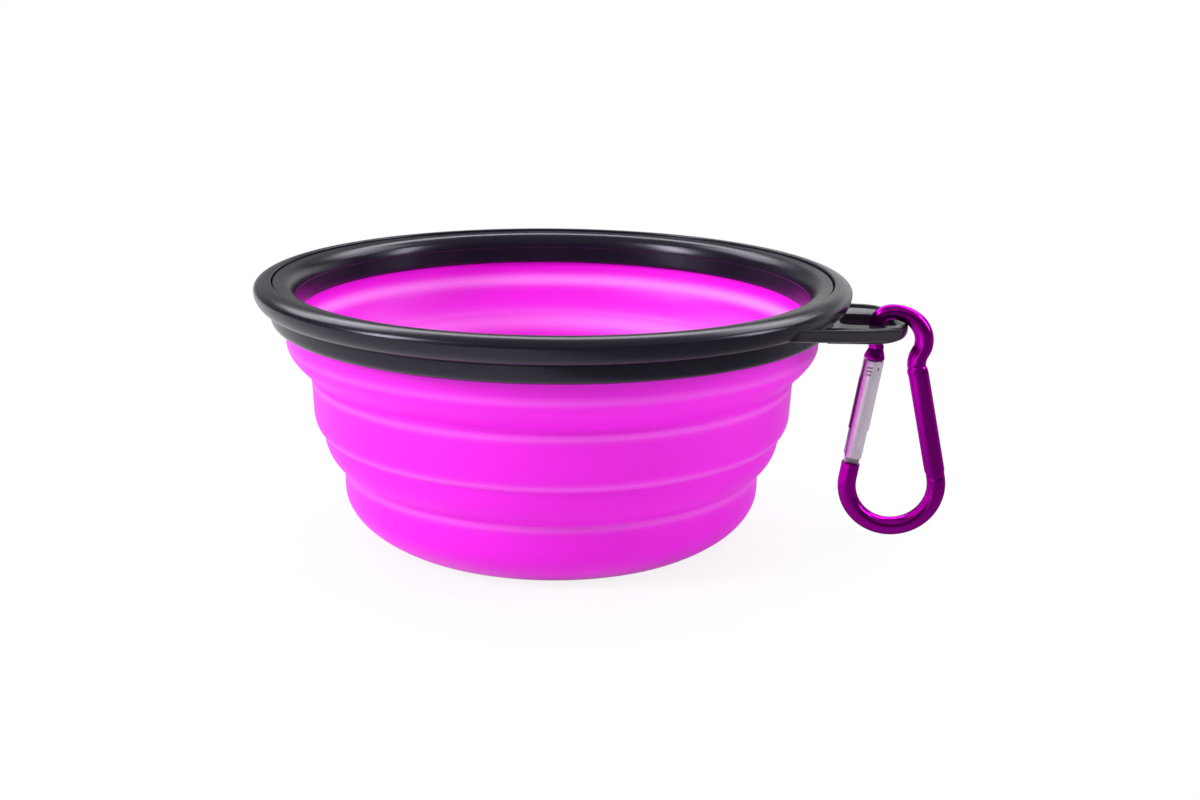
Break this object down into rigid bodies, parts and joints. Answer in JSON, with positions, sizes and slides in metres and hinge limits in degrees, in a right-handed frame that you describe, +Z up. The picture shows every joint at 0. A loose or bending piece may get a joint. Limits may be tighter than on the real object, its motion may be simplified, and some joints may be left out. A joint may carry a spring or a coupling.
{
  "type": "collapsible dog bowl",
  "caption": "Collapsible pet bowl: a stepped silicone bowl that folds flat into a rigid plastic rim, with a spring-gate carabiner on the rim's tab for carrying.",
  "frame": {"origin": "middle of the bowl's flat underside, where it stands on the table", "axes": "+Z up through the bowl's mouth, +X towards the rim's tab and the carabiner, +Y along the carabiner's swing axis"},
  "size_m": [0.1515, 0.1288, 0.0563],
  "materials": {
    "silicone": "smooth satin magenta silicone",
    "rim_plastic": "satin charcoal moulding",
    "purple_metal": "glossy purple anodising",
    "silver_metal": "bright polished",
    "steel": "plain"
  },
  "bodies": {
    "rim": {"bead_ring": "rim_plastic", "liner_ring": "rim_plastic", "lower_ring": "rim_plastic", "upper_wall": "silicone", "upper_fold": "silicone"},
    "middle": {"middle_tier": "silicone", "lower_fold": "silicone"},
    "base": {"base_cup": "silicone"},
    "carabiner": {"carabiner_frame": "purple_metal", "gate_rivet": "silver_metal"},
    "gate_body": {"gate": "silver_metal", "latch_pin": "steel", "gate_spring": "steel"},
    "plunger": {"gate_plunger": "steel"}
  },
  "joints": [
    {"name": "upper_collapse", "type": "slide", "parent": "rim", "child": "middle", "axis": [0, 0, 1], "range_m": [0, 0.0124], "deforming": ["upper_fold"]},
    {"name": "lower_collapse", "type": "slide", "parent": "middle", "child": "base", "axis": [0, 0, 1], "range_m": [0, 0.022], "deforming": ["lower_fold"]},
    {"name": "carabiner_swing", "type": "hinge", "parent": "rim", "child": "carabiner", "pos_m": [0.07505, -0.003, 0.04625], "axis": [0, -1, 0], "range_deg": [-20, 180]},
    {"name": "gate_open", "type": "hinge", "parent": "carabiner", "child": "gate_body", "pos_m": [0.06699, -0.003, 0.01977], "axis": [0, 1, 0], "range_deg": [0, 13], "stiffness_Nm_per_rad": 0.02, "springref_deg": -28.65},
    {"name": "plunger_slide", "type": "slide", "parent": "gate_body", "child": "plunger", "axis": [0.1392, 0, 0.9903], "range_m": [0, 0.0005], "stiffness_N_per_m": 0.5, "springref_m": -0.002, "deforming": ["gate_spring"]}
  ]
}
